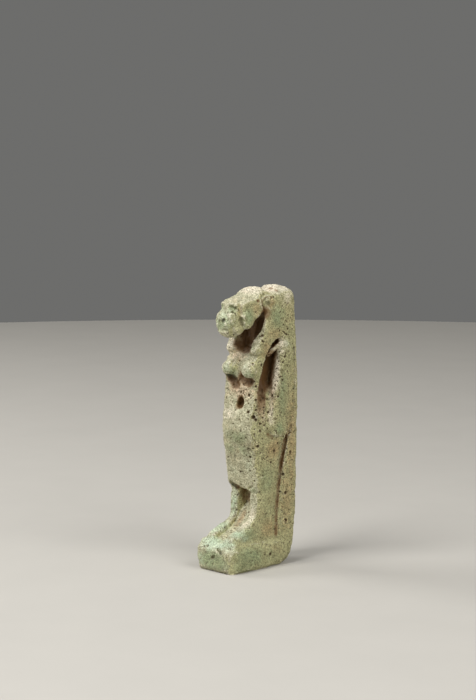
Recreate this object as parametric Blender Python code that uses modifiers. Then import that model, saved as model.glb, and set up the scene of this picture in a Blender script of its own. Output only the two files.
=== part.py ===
"""A small faience amulet: an animal-headed goddess, standing, moulded in one with her plinth and back pillar.

Metres, +Z up. She faces -Y and her left side is +X. The origin is on the underside, below the middle of the plinth.

The carving is drawn on a block 8.2 wide, 13.6 deep and 44 high, in drawing units, of which the plinth takes the
lowest 4. The drawing is stretched to the block's real size, so a place on the figure is a share of the block.
"""

import math

import bmesh
import bpy
from mathutils import Matrix, Vector

MM = 0.001

# The block
HEIGHT = 44.0 * MM
PLINTH_WIDTH = 8.2 * MM
PLINTH_DEPTH = 13.6 * MM
PLINTH_HEIGHT = 4.0 * MM
PLINTH_TOE_RISE = 0.7 * MM
PLINTH_SIDE_RISE = 0.5 * MM
PLINTH_ROUNDING = 0.75 * MM
PLINTH_TAPER = 0.95

# The back pillar, nearly flush with the plinth
PILLAR_WIDTH = 7.6 * MM
PILLAR_BOW = 1.5 * MM
PILLAR_CROWN = 1.7 * MM

# The groove between the pillar and what stands before it, on each side
GROOVE_WIDTH = 0.6 * MM
GROOVE_DEPTH = 1.0 * MM
GROOVE_SHALLOW = 0.35 * MM

# The finish of the casting
GRAIN = 0.17 * MM
WEAR_PASSES = 5
CARVED_PASSES = 2
TRIANGLES = 9300

# The drawing, in drawing units
DRAWN_WIDTH = 8.2
DRAWN_DEPTH = 13.6
DRAWN_HEIGHT = 44.0
DRAWN_SOLE = 4.0
RING_POINTS = 28

LEFT, RIGHT = 1, -1


def at(x, y, z):
    """A place on the drawing, on the real block."""
    above_sole = (z - DRAWN_SOLE) / (DRAWN_HEIGHT - DRAWN_SOLE)
    return Vector(
        (
            x * PLINTH_WIDTH / DRAWN_WIDTH,
            y * PLINTH_DEPTH / DRAWN_DEPTH,
            PLINTH_HEIGHT + above_sole * (HEIGHT - PLINTH_HEIGHT),
        )
    )


def superellipse(angle, half_a, half_b, squareness):
    """A point of a rounded rectangle. Squareness 2 is an ellipse, and more is squarer."""
    c = math.cos(angle)
    s = math.sin(angle)
    power = 2 / squareness
    return (
        half_a * math.copysign(abs(c) ** power, c),
        half_b * math.copysign(abs(s) ** power, s),
    )


def add_object(name, bm):
    """An object with this mesh, in the scene's own collection."""
    mesh = bpy.data.meshes.new(name)
    bm.to_mesh(mesh)
    bm.free()
    obj = bpy.data.objects.new(name, mesh)
    bpy.context.scene.collection.objects.link(obj)
    return obj


def loft(name, rings):
    """A closed skin over rings of real points, with a flat cap at each end."""
    bm = bmesh.new()
    loops = [[bm.verts.new(point) for point in ring] for ring in rings]
    for lower, upper in zip(loops, loops[1:]):
        for i in range(len(lower)):
            j = (i + 1) % len(lower)
            bm.faces.new((lower[i], lower[j], upper[j], upper[i]))
    bm.faces.new(loops[0][::-1])
    bm.faces.new(loops[-1])
    bmesh.ops.recalc_face_normals(bm, faces=bm.faces)
    return add_object(name, bm)


def angles():
    return [2 * math.pi * i / RING_POINTS for i in range(RING_POINTS)]


def upright(name, stations, side=LEFT, hem=0.0, turn=0.0):
    """A form that rises. A station is (z, front y, back y, middle x, half width, squareness).

    For each unit outward, hem is the rise of the lowest edge and turn is the way back of every section.
    """
    rings = []
    for z, front, back, middle, half_width, squareness in stations:
        rise = 0.0 if rings else hem
        ring = []
        for angle in angles():
            x, y = superellipse(angle, half_width, (back - front) / 2, squareness)
            ring.append(at(side * (middle + x), (front + back) / 2 + y + turn * x, z + rise * x))
        rings.append(ring)
    return loft(name, rings)


def forward(name, stations, side=LEFT):
    """A form that runs from back to front. A station is (y, bottom z, top z, middle x, half width, squareness)."""
    rings = []
    for y, bottom, top, middle, half_width, squareness in stations:
        ring = []
        for angle in angles():
            x, z = superellipse(angle, half_width, (top - bottom) / 2, squareness)
            ring.append(at(side * (middle + x), y, (bottom + top) / 2 + z))
        rings.append(ring)
    return loft(name, rings)


def slab(name, outline, layers, side=LEFT, toe=0.0):
    """A form with this outline of (y, z) seen from the side. A layer is (x, share of the outline's size).

    Toe is how much further out its back is than its front, for each unit of depth.
    """
    middle_y = sum(y for y, z in outline) / len(outline)
    middle_z = sum(z for y, z in outline) / len(outline)
    rings = []
    for x, share in layers:
        ring = []
        for y, z in outline:
            out = x + toe * y
            ring.append(at(side * out, middle_y + share * (y - middle_y), middle_z + share * (z - middle_z)))
        rings.append(ring)
    return loft(name, rings)


def ball(name, centre, radii, side=LEFT, lean=0.0):
    """An egg shape. Lean tips its top forward, in degrees."""
    bm = bmesh.new()
    turn = Matrix.Rotation(math.radians(lean), 3, "X")
    bmesh.ops.create_uvsphere(bm, u_segments=20, v_segments=12, radius=1)
    for vert in bm.verts:
        x, y, z = turn @ Vector([c * r for c, r in zip(vert.co, radii)])
        vert.co = at(side * (centre[0] + x), centre[1] + y, centre[2] + z)
    bmesh.ops.recalc_face_normals(bm, faces=bm.faces)
    return add_object(name, bm)


def both(maker, name, *args, **more):
    """The form on her left side and its twin on her right."""
    return [
        maker(f"{name}_left", *args, side=LEFT, **more),
        maker(f"{name}_right", *args, side=RIGHT, **more),
    ]


def plinth():
    """The block under her feet, a little wider and higher in front, and higher on her right."""
    bm = bmesh.new()
    bmesh.ops.create_cube(bm, size=1)
    for vert in bm.verts:
        x, y, z = vert.co
        width = PLINTH_WIDTH if y < 0 else PLINTH_WIDTH * PLINTH_TAPER
        top = PLINTH_HEIGHT + PLINTH_TOE_RISE * (0.4 - y) - PLINTH_SIDE_RISE * x
        vert.co = (x * width, y * PLINTH_DEPTH, top if z > 0 else -0.25 * PLINTH_ROUNDING)
    bmesh.ops.bevel(
        bm,
        geom=bm.edges[:],
        offset=min(PLINTH_ROUNDING, 0.4 * PLINTH_HEIGHT, 0.4 * PLINTH_WIDTH),
        segments=4,
        profile=0.5,
        affect="EDGES",
    )
    return add_object("plinth", bm)


def pillar():
    """The slab behind her, with a bowed back and an arched top that slopes down to the front."""
    front = 0.33 * PLINTH_DEPTH
    bow = [
        (1.6, 0.08),
        (3.4, 0.48),
        (5.0, 0.62),
        (8.0, 0.72),
        (14.0, 0.86),
        (20.0, 1.00),
        (25.0, 1.08),
        (30.0, 1.03),
        (35.0, 0.88),
        (40.0, 0.65),
        (42.3, 0.48),
    ]
    arch = [(0.30, 0.97), (0.55, 0.89), (0.76, 0.72), (0.91, 0.46), (1.00, 0.15)]
    rings = []
    for z, share in bow:
        back = PLINTH_DEPTH / 2 + PILLAR_BOW * share
        rings.append(pillar_ring(at(0, 0, z).z, front, back, 1.0))
    for rise, width in arch:
        z = HEIGHT - PILLAR_CROWN * (1 - rise)
        slope = PILLAR_CROWN * (1 - width)
        rings.append(pillar_ring(z, front + slope, back - 0.5 * slope, width))
    return loft("pillar", rings)


def pillar_ring(z, front, back, width):
    """A level section. Width is a share of the pillar's."""
    ring = []
    for angle in angles():
        x, y = superellipse(angle, width * PILLAR_WIDTH / 2, (back - front) / 2, 7)
        ring.append(Vector((x, (front + back) / 2 + y, z)))
    return ring


def body():
    """Her trunk and skirt, from the hem to the breast."""
    return upright(
        "body",
        [
            (12.3, -0.40, 3.2, -0.15, 3.35, 5),
            (13.2, -0.55, 3.2, -0.15, 3.45, 4.6),
            (15.6, -0.90, 3.2, -0.15, 3.50, 4.2),
            (18.0, -1.40, 3.0, -0.15, 3.60, 3.8),
            (20.0, -1.85, 3.0, -0.10, 3.70, 3.4),
            (22.0, -2.10, 2.8, -0.10, 3.70, 3.2),
            (24.0, -1.95, 2.6, -0.10, 3.60, 3.2),
            (26.0, -1.50, 2.2, -0.15, 3.50, 3.8),
            (27.6, -1.15, 1.8, -0.20, 3.45, 4.2),
            (29.0, -1.05, 1.8, -0.20, 3.40, 4.5),
            (30.5, -1.05, 2.0, -0.20, 3.45, 4.5),
            (32.0, -1.00, 2.2, -0.15, 3.50, 4.5),
            (33.0, -0.80, 2.4, -0.10, 3.45, 4.5),
            (33.8, -0.20, 2.6, -0.10, 3.40, 4),
            (34.6, 0.90, 2.8, -0.10, 3.20, 4),
        ],
        hem=-0.13,
        turn=0.07,
    )


def web():
    """The core that ties her waist and neck to the pillar. Only its edges show, deep in the gaps."""
    return upright(
        "web",
        [
            (20.0, 0.5, 7.0, 0, 1.9, 5),
            (28.0, 0.5, 7.0, 0, 1.6, 5),
            (32.5, 0.5, 7.0, 0, 1.3, 5),
            (34.5, 1.6, 7.0, 0, 1.3, 5),
            (41.5, 1.9, 7.0, 0, 1.4, 5),
        ],
    )


def flank():
    """The mass beside her legs and hips, back to the pillar."""
    return upright(
        "flank",
        [
            (3.5, -0.4, 6.4, -0.05, 3.30, 7),
            (5.0, 0.2, 6.4, -0.05, 3.25, 7),
            (6.5, 0.9, 6.4, -0.05, 3.25, 7),
            (8.0, 1.4, 6.4, -0.05, 3.25, 7),
            (12.5, 1.9, 6.4, -0.05, 3.30, 7),
            (18.0, 1.0, 6.4, -0.05, 3.50, 7),
            (22.0, 1.0, 6.4, 0, 3.40, 6),
            (24.5, 1.0, 6.4, 0, 3.05, 6),
            (26.5, 1.0, 6.4, 0, 2.80, 5),
            (27.8, 1.0, 6.4, 0, 2.40, 4),
            (29.0, 1.0, 6.4, 0, 1.50, 3),
        ],
    )


def legs():
    """The shins, and the feet of which her left one is set a little ahead."""
    shin = [
        (4.0, -0.6, 3.5, 0, 1.08, 4.5),
        (7.0, -0.4, 3.5, 0, 1.05, 4.5),
        (9.0, -0.25, 3.5, 0, 1.05, 4.5),
        (11.5, -0.15, 3.5, 0, 1.08, 4.5),
        (14.0, -0.1, 3.5, 0, 1.15, 4.5),
    ]
    left_foot = [
        (1.2, 3.0, 9.4, 0, 1.02, 3.4),
        (0.0, 3.0, 8.6, 0, 1.02, 3.4),
        (-0.9, 3.0, 7.7, 0, 1.02, 3.4),
        (-2.2, 3.0, 6.9, 0, 1.06, 3.4),
        (-3.9, 3.0, 6.2, 0, 1.14, 3.2),
        (-5.2, 3.0, 5.6, 0, 1.16, 3.0),
        (-6.2, 3.0, 4.9, 0, 0.95, 3.0),
    ]
    right_foot = [
        (1.2, 3.0, 9.0, 0, 0.98, 3.4),
        (0.0, 3.0, 8.2, 0, 0.98, 3.4),
        (-1.1, 3.0, 7.5, 0, 0.98, 3.4),
        (-2.3, 3.0, 6.95, 0, 0.98, 3.4),
        (-3.4, 3.0, 6.5, 0, 1.04, 3.2),
        (-4.6, 3.0, 6.05, 0, 1.04, 3.0),
        (-5.4, 3.0, 5.5, 0, 0.90, 3.0),
    ]
    left, right = 2.08, 2.18
    return [
        upright("shin_left", moved(shin, left), LEFT),
        upright("shin_right", moved(shin, right + 0.05), RIGHT),
        forward("foot_left", moved(left_foot, left), LEFT),
        forward("foot_right", moved(right_foot, right - 0.08), RIGHT),
    ]


def instep():
    """The clay left between the feet, which slopes down from the shins to the plinth."""
    return forward(
        "instep",
        [
            (2.4, 3.0, 10.2, 0, 1.3, 4),
            (1.0, 3.0, 9.4, 0, 1.3, 4),
            (0.0, 3.0, 8.2, 0, 1.3, 4),
            (-0.8, 3.0, 6.9, 0, 1.3, 4),
            (-1.7, 3.0, 6.2, 0, 1.3, 4),
            (-3.1, 3.0, 5.4, 0, 1.3, 4),
            (-4.3, 3.0, 4.9, 0, 1.3, 4),
            (-5.0, 3.0, 4.5, 0, 1.2, 4),
        ],
    )


def moved(stations, outward):
    """The same stations, further from the middle."""
    return [(*station[:3], station[3] + outward, *station[4:]) for station in stations]


def arms():
    """Each arm hangs from the shoulder along the pillar, and its hand lies on the thigh."""
    return both(
        upright,
        "arm",
        [
            (19.9, 3.0, 4.2, 3.10, 0.75, 3),
            (20.7, 2.4, 5.0, 3.00, 0.95, 4),
            (22.4, 2.1, 5.8, 2.95, 1.02, 4.5),
            (24.5, 2.4, 6.4, 2.95, 1.05, 4.5),
            (27.0, 2.7, 6.8, 2.95, 1.05, 4.5),
            (30.0, 3.2, 7.0, 2.98, 1.05, 4.5),
            (33.0, 3.8, 7.1, 3.05, 1.00, 4.5),
            (34.6, 4.2, 7.0, 3.05, 0.98, 4),
            (35.8, 4.7, 6.9, 2.98, 0.92, 3.5),
        ],
    )


def breasts():
    """The right one hangs a little lower."""
    return [
        ball("breast_left", (2.15, -0.9, 31.35), (1.45, 1.25, 1.3)),
        ball("breast_right", (2.2, -0.8, 31.15), (1.5, 1.25, 1.5), RIGHT),
    ]


def wig():
    """The wig falls beside the neck and over each shoulder in a broad lappet that ends above the breast."""
    lappet = [
        (1.9, 42.0),
        (1.40, 41.0),
        (1.25, 40.2),
        (0.90, 37.9),
        (0.30, 36.7),
        (-0.25, 35.6),
        (-0.60, 34.7),
        (-0.60, 33.9),
        (0.4, 33.4),
        (2.0, 33.9),
        (2.9, 35.0),
        (3.7, 35.8),
        (5.0, 36.2),
        (7.4, 36.2),
        (7.4, 42.2),
        (5.0, 43.1),
        (3.4, 43.1),
        (2.6, 42.8),
    ]
    return both(slab, "wig", lappet, [(1.35, 1.0), (3.1, 1.0), (3.72, 0.92)])


def head():
    """A lioness's head, thrust forward and narrower in front. The crown slopes down to the brow, which stands over the face."""
    return forward(
        "head",
        [
            (4.5, 41.0, 43.1, 0, 2.4, 3),
            (3.3, 41.0, 43.65, 0, 2.7, 3),
            (2.4, 40.6, 43.90, 0, 2.9, 3),
            (1.5, 40.3, 43.88, 0, 2.9, 3),
            (0.9, 39.9, 43.50, 0, 2.85, 3),
            (0.3, 39.4, 42.95, 0, 2.75, 3.2),
            (-0.6, 38.4, 42.72, 0, 2.55, 3.2),
            (-1.6, 37.6, 42.52, 0, 2.25, 3.4),
            (-2.6, 37.0, 42.25, 0, 2.00, 3.6),
            (-3.3, 36.8, 41.98, 0, 1.72, 3.6),
            (-3.8, 36.9, 41.50, 0, 1.48, 3.4),
            (-4.1, 37.2, 41.00, 0, 1.25, 3),
        ],
    )


def ruff():
    """The mane stands out in a round lobe behind each cheek."""
    lobe = [
        (-2.80, 41.7),
        (-3.00, 40.8),
        (-2.95, 39.6),
        (-2.60, 38.6),
        (-1.85, 37.75),
        (-1.20, 38.1),
        (-0.40, 38.9),
        (0.45, 39.65),
        (1.05, 40.5),
        (1.10, 41.4),
        (0.60, 42.1),
        (-0.8, 42.3),
        (-2.0, 42.1),
    ]
    return both(slab, "ruff", lobe, [(1.2, 0.9), (2.3, 1.0), (2.75, 1.0), (3.1, 0.82)], toe=0.22)


def muzzle():
    return forward(
        "muzzle",
        [
            (-1.2, 37.4, 41.6, 0, 2.10, 3),
            (-2.2, 36.6, 41.5, 0, 1.95, 2.8),
            (-3.2, 36.3, 41.1, 0, 1.75, 2.6),
            (-4.0, 36.5, 40.3, 0, 1.60, 2.6),
            (-4.6, 36.8, 39.7, 0, 1.40, 2.6),
            (-5.0, 37.2, 39.3, 0, 1.05, 2.4),
        ],
    )


def brows():
    return both(ball, "brow", (1.05, -3.45, 41.45), (0.6, 0.55, 0.45))


def grooves():
    """The groove starts on the plinth, is deep beside the skirt and turns shallow behind the arm."""
    deep = GROOVE_DEPTH / PLINTH_WIDTH * DRAWN_WIDTH
    shallow = GROOVE_SHALLOW / PLINTH_WIDTH * DRAWN_WIDTH
    half = GROOVE_WIDTH / 2 / PLINTH_DEPTH * DRAWN_DEPTH
    line = [
        (4.9, 3.60, 0.6 * deep),
        (6.0, 3.45, deep),
        (8.8, 3.48, deep),
        (12.0, 3.80, deep),
        (15.1, 4.24, deep),
        (16.7, 4.67, deep),
        (18.2, 4.85, deep),
        (19.8, 5.40, deep),
        (21.0, 5.95, 0.7 * deep),
        (22.5, 6.45, shallow),
        (25.5, 7.00, shallow),
        (30.0, 7.20, shallow),
        (34.5, 7.10, shallow),
    ]
    return both(
        upright,
        "groove",
        [(z, y - half, y + half, 3.55, depth, 3) for z, y, depth in line],
    )


def slots():
    """The deep gap between each arm and her side, narrower inside."""
    gap = [
        (3.8, 35.95),
        (2.7, 35.35),
        (1.95, 34.5),
        (1.55, 33.6),
        (1.15, 32.5),
        (0.75, 31.1),
        (0.35, 29.8),
        (0.1, 28.9),
        (0.15, 28.2),
        (0.6, 27.6),
        (1.5, 27.7),
        (2.25, 28.6),
        (2.45, 30.2),
        (2.95, 31.6),
        (3.45, 32.7),
        (3.6, 33.8),
        (4.0, 34.8),
        (4.25, 35.6),
    ]
    return both(slab, "slot", gap, [(1.25, 0.45), (2.1, 0.72), (2.9, 0.92), (3.4, 1.0), (4.6, 1.05)])


def gaps():
    """The hollow behind each lobe of the mane, down to the chest inside the lappet."""
    return both(
        upright,
        "gap",
        [
            (34.7, -0.9, 0.3, 1.35, 0.40, 3),
            (36.0, -0.9, 1.2, 1.45, 0.60, 3),
            (37.0, -0.5, 1.7, 1.70, 0.85, 3),
            (38.0, 0.15, 2.1, 1.92, 1.00, 3),
            (39.0, 0.80, 2.4, 2.05, 1.05, 3),
            (40.0, 1.25, 2.4, 2.15, 0.98, 3),
            (40.7, 1.45, 2.2, 2.25, 0.75, 3),
        ],
    )


def creases():
    """The line that parts each lobe of the mane from the face."""
    line = [
        (38.1, -2.05, 2.3),
        (38.7, -2.75, 2.2),
        (39.6, -3.10, 2.1),
        (40.6, -3.15, 2.1),
        (41.6, -2.95, 2.1),
    ]
    return both(upright, "crease", [(z, y - 0.2, y + 0.2, x, 0.45, 2) for z, y, x in line])


def pits():
    """The largest holes of the casting, and the hollows of the face."""
    return [
        ball("navel", (0.45, -1.45, 26.0), (0.7, 0.9, 1.0)),
        *both(ball, "eye", (1.50, -4.15, 40.95), (0.4, 0.45, 0.42)),
        *both(ball, "nostril", (0.6, -5.05, 39.15), (0.25, 0.4, 0.25)),
    ]


def join(name, pieces):
    """One object that holds the meshes of several, which are removed."""
    bm = bmesh.new()
    for piece in pieces:
        bm.from_mesh(piece.data)
        bpy.data.objects.remove(piece)
    return add_object(name, bm)


def remesh(obj, size):
    modifier = obj.modifiers.new("skin", "REMESH")
    modifier.mode = "VOXEL"
    modifier.voxel_size = size
    modifier.use_smooth_shade = True


def smooth(obj, passes):
    modifier = obj.modifiers.new("wear", "SMOOTH")
    modifier.factor = 0.5
    modifier.iterations = passes


def cut(obj, cutter, name, cutters):
    bpy.context.scene.collection.objects.unlink(cutter)
    cutters.objects.link(cutter)
    cutter.hide_render = True
    cutter.display_type = "WIRE"
    modifier = obj.modifiers.new(name, "BOOLEAN")
    modifier.operation = "DIFFERENCE"
    modifier.object = cutter


def triangle_count(obj):
    graph = bpy.context.evaluated_depsgraph_get()
    mesh = obj.evaluated_get(graph).data
    return sum(len(polygon.vertices) - 2 for polygon in mesh.polygons)


def ground():
    """All that lies below the underside, which is cut off flat."""
    bm = bmesh.new()
    bmesh.ops.create_cube(bm, size=1)
    deep = HEIGHT / 4
    bmesh.ops.scale(bm, vec=(PLINTH_WIDTH * 2, PLINTH_DEPTH * 2, deep), verts=bm.verts)
    bmesh.ops.translate(bm, vec=(0, 0, -deep / 2), verts=bm.verts)
    return add_object("ground", bm)


def main():
    for obj in list(bpy.data.objects):
        bpy.data.objects.remove(obj)
    parts = bpy.data.collections.new("faience figurine")
    cutters = bpy.data.collections.new("cutters")
    bpy.context.scene.collection.children.link(parts)
    bpy.context.scene.collection.children.link(cutters)
    forms = [plinth(), pillar(), body(), web(), flank(), head(), muzzle(), instep()]
    forms += legs() + arms() + breasts() + wig() + ruff() + brows()
    figurine = join("faience_figurine", forms)
    bpy.context.scene.collection.objects.unlink(figurine)
    parts.objects.link(figurine)
    remesh(figurine, GRAIN)
    smooth(figurine, WEAR_PASSES)
    carving = join("carving", grooves() + slots() + gaps() + creases() + pits())
    cut(figurine, carving, "carving", cutters)
    remesh(figurine, GRAIN)
    smooth(figurine, CARVED_PASSES)
    thin = figurine.modifiers.new("facets", "DECIMATE")
    thin.ratio = min(1.0, TRIANGLES / triangle_count(figurine))
    cut(figurine, ground(), "underside", cutters)
    material = bpy.data.materials.new("pale green faience")
    material.use_nodes = True
    shader = material.node_tree.nodes["Principled BSDF"]
    shader.inputs["Base Color"].default_value = (0.42, 0.44, 0.29, 1)
    shader.inputs["Roughness"].default_value = 0.6
    figurine.data.materials.append(material)


main()
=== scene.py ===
"""The faience figurine with its worn carving, the pores of its casting and its mottled green and tan glaze.

Metres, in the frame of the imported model: +Z up, she faces -Y and her left side is +X. The classes give their
places and sizes in millimetres.
"""

from __future__ import annotations

import logging
import math
from dataclasses import dataclass
from enum import Enum
from typing import Any

import bpy
import numpy as np
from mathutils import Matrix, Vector
from mathutils.bvhtree import BVHTree
from mathutils.kdtree import KDTree

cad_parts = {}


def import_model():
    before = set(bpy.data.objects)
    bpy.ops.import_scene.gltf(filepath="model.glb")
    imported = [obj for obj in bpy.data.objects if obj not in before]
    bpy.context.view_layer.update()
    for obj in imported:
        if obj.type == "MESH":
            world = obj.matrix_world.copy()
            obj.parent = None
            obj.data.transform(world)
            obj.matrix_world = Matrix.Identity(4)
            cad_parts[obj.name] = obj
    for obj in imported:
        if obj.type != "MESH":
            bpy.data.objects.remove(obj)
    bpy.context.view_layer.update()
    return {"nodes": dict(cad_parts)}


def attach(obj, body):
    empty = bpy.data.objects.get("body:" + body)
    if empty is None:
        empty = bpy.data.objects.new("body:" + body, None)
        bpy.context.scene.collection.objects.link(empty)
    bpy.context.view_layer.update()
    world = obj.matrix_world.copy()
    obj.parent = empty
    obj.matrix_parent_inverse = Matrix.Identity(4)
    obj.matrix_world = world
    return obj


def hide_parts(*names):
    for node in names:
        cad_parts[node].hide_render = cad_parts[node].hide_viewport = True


MM = 0.001
NODE = "faience_figurine"
BODY = "root"
PIECE = "figurine"
# How much a roll narrows at its tips and how far they reach, as shares of its radius there
TIP_RADIUS, TIP_REACH = 0.55, 0.8
ROLL_ROUNDNESS = 3
EGG_SEGMENTS, EGG_RINGS = 20, 12
# How much a stroke still moves what faces sideways from it
TURNED_AWAY = 0.3
# The solid's corners that are nearer than this, in metres, are one
WELD = 1e-6
# How fast a dab fades with the square of the distance
FADE = -1.1

log = logging.getLogger("figurine")

Array = np.ndarray
Object = bpy.types.Object
Triple = tuple[float, float, float]
Quad = tuple[float, float, float, float]
Colour = tuple[int, int, int]


class Side(Enum):
    """Her left side and her right."""

    LEFT = 1.0
    RIGHT = -1.0


class Mask(Enum):
    """The numbers that the surface carries for its glaze, one attribute each."""

    # Olive on the sides: partly the glaze's tone, partly painted shade
    FLANK = "flank"
    # Dark in gaps, under forms and along the seams: dirt, and painted shade
    HOLLOW = "hollow"
    WORN = "worn"
    # Dark inside the pores and pits: dirt, and painted shade
    PORE = "pore"
    POROUS = "porous"
    # Darker green glaze, with painted shade under the belly and the breasts
    GREEN = "green"
    MINT = "mint"
    OCHRE = "ochre"
    CREAM = "cream"
    # Pale cream where the glaze is worn, and painted highlight on tops and lit edges
    ROSE = "rose"


def pick(obj: Object) -> None:
    """Makes one object the only selected and the active one."""
    bpy.ops.object.select_all(action="DESELECT")
    obj.select_set(True)
    bpy.context.view_layer.objects.active = obj


def apply_modifier(obj: Object, kind: str, **settings: Any) -> None:
    """Adds a modifier, sets it and applies it to the mesh.

    Args:
        obj: The object to change.
        kind: Blender's name of the modifier.
        **settings: The modifier's own properties.
    """
    pick(obj)
    modifier = obj.modifiers.new(kind.lower(), kind)
    for name, value in settings.items():
        setattr(modifier, name, value)
    bpy.ops.object.modifier_apply(modifier=modifier.name)


def join(objects: list[Object], name: str) -> Object:
    """Joins several mesh objects into one.

    Args:
        objects: The objects, of which the first one stays.
        name: The name of the joined object.

    Returns:
        The joined object.
    """
    pick(objects[0])
    for obj in objects:
        obj.select_set(True)
    bpy.ops.object.join()
    joined = bpy.context.view_layer.objects.active
    joined.name = name
    joined.data.name = name
    return joined


def twin(obj: Object) -> Object:
    """A copy of an object, with a mesh of its own."""
    made = obj.copy()
    made.data = obj.data.copy()
    bpy.context.scene.collection.objects.link(made)
    return made


def read_points(mesh: bpy.types.Mesh) -> Array:
    """The mesh's vertices as rows of x, y and z."""
    flat = np.empty(len(mesh.vertices) * 3)
    mesh.vertices.foreach_get("co", flat)
    return flat.reshape(-1, 3)


def write_points(mesh: bpy.types.Mesh, points: Array) -> None:
    """Moves the mesh's vertices to these rows of x, y and z."""
    mesh.vertices.foreach_set("co", points.ravel())
    mesh.update()


def read_normals(mesh: bpy.types.Mesh) -> Array:
    """The normals at the mesh's vertices, as rows of x, y and z."""
    flat = np.empty(len(mesh.vertices) * 3, dtype=np.float32)
    mesh.vertex_normals.foreach_get("vector", flat)
    return flat.reshape(-1, 3).astype(float)


def ramp(values: Array, low: float, high: float) -> Array:
    """Rises smoothly from 0 at low to 1 at high."""
    share = np.clip((values - low) / (high - low), 0.0, 1.0)
    return share * share * (3 - 2 * share)


@dataclass(frozen=True)
class Roll:
    """A roll of clay, or the channel that it would fill, as points of (x, y, z, radius)."""

    name: str
    line: tuple[Quad, ...]
    both_sides: bool = True

    def model(self, side: Side) -> Object:
        """Sweeps a round section along the line.

        Args:
            side: The side of the figurine that it is on.

        Returns:
            A closed mesh object, with its place in its mesh.
        """
        bpy.ops.object.select_all(action="DESELECT")
        bpy.ops.curve.primitive_nurbs_path_add()
        obj = bpy.context.object
        obj.name = f"{self.name}_{side.name.lower()}"
        curve = obj.data
        curve.splines.clear()
        spline = curve.splines.new("POLY")
        spline.points.add(len(self.line) + 1)
        first, last = self.line[0], self.line[-1]
        ends = ((*first[:3], TIP_RADIUS * first[3]), *self.line, (*last[:3], TIP_RADIUS * last[3]))
        before = Vector(first[:3]) - Vector(self.line[1][:3])
        after = Vector(last[:3]) - Vector(self.line[-2][:3])
        tips = {
            0: before.normalized() * first[3] * TIP_REACH,
            len(ends) - 1: after.normalized() * last[3] * TIP_REACH,
        }
        for index, (x, y, z, radius) in enumerate(ends):
            x, y, z = Vector((x, y, z)) + tips.get(index, Vector())
            spline.points[index].co = (side.value * x * MM, y * MM, z * MM, 1)
            spline.points[index].radius = radius
        curve.dimensions = "3D"
        curve.bevel_depth = MM
        curve.bevel_resolution = ROLL_ROUNDNESS
        curve.use_fill_caps = True
        pick(obj)
        bpy.ops.object.convert(target="MESH")
        return bpy.context.object


@dataclass(frozen=True)
class Lump:
    """An egg of clay, or the hollow that it would fill: its middle, half sizes and tilt in degrees."""

    name: str
    place: Triple
    half: Triple
    tilt: Triple = (0, 0, 0)
    both_sides: bool = True

    def model(self, side: Side) -> Object:
        """Shapes a ball into the egg.

        Args:
            side: The side of the figurine that it is on.

        Returns:
            A closed mesh object, with its place in its mesh.
        """
        bpy.ops.object.select_all(action="DESELECT")
        mirror = side.value
        turn = [math.radians(angle) for angle in self.tilt]
        bpy.ops.mesh.primitive_uv_sphere_add(
            segments=EGG_SEGMENTS,
            ring_count=EGG_RINGS,
            radius=1,
            location=(mirror * self.place[0] * MM, self.place[1] * MM, self.place[2] * MM),
            rotation=(turn[0], mirror * turn[1], mirror * turn[2]),
            scale=[size * MM for size in self.half],
        )
        obj = bpy.context.object
        obj.name = f"{self.name}_{side.name.lower()}"
        bpy.ops.object.transform_apply(location=True, rotation=True, scale=True)
        return obj


@dataclass(frozen=True)
class Stroke:
    """One stroke of the modelling tool along a line. A depth below nought draws the surface out."""

    line: tuple[Triple, ...]
    radius: float
    depth: float
    both_sides: bool = True


@dataclass(frozen=True)
class Dab:
    """A soft patch of one tone of the glaze: its middle, its reach along x, y and z, and its strength."""

    place: Triple
    reach: Triple
    strength: float = 1.0
    both_sides: bool = True


@dataclass(frozen=True)
class Seam:
    """A line along which the glaze is darkened: dirt in grooves and marks, and painted shade where forms shade
    each other.
    """

    line: tuple[Triple, ...]
    radius: float
    strength: float = 1.0
    both_sides: bool = True


def each(kind: type, *rows: tuple[Any, ...]) -> tuple[Any, ...]:
    """One shape of a kind for each row of its values."""
    return tuple(kind(*row) for row in rows)


def sides(shape: Roll | Lump | Stroke | Dab | Seam) -> list[Side]:
    """The sides of the figurine that a shape is on."""
    return list(Side) if shape.both_sides else [Side.LEFT]


def paths(shape: Stroke | Seam) -> list[Array]:
    """The line of a shape in metres, once for each side that it is on."""
    return [np.array(shape.line) * MM * (side.value, 1, 1) for side in sides(shape)]


def distance_to_line(points: Array, line: Array) -> Array:
    """How far each point is from a line of one or more corners.

    Args:
        points: Rows of x, y and z.
        line: The corners of the line, as rows of x, y and z.

    Returns:
        One distance for each point.
    """
    if len(line) == 1:
        return np.linalg.norm(points - line[0], axis=1)
    best = np.full(len(points), np.inf)
    for start, end in zip(line, line[1:]):
        along = end - start
        share = np.clip((points - start) @ along / (along @ along), 0.0, 1.0)
        best = np.minimum(best, np.linalg.norm(points - start - share[:, None] * along, axis=1))
    return best


def boxed(points: Array, line: Array, radius: float) -> Array:
    """The numbers of the points in the box round a line, which is wider than it by a radius."""
    low, high = line.min(axis=0) - radius, line.max(axis=0) + radius
    return np.nonzero(((points > low) & (points < high)).all(axis=1))[0]


def search_tree(points: Array) -> KDTree:
    """A tree that finds the points near a place."""
    tree = KDTree(len(points))
    for index, point in enumerate(points):
        tree.insert(point, index)
    tree.balance()
    return tree


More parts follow.
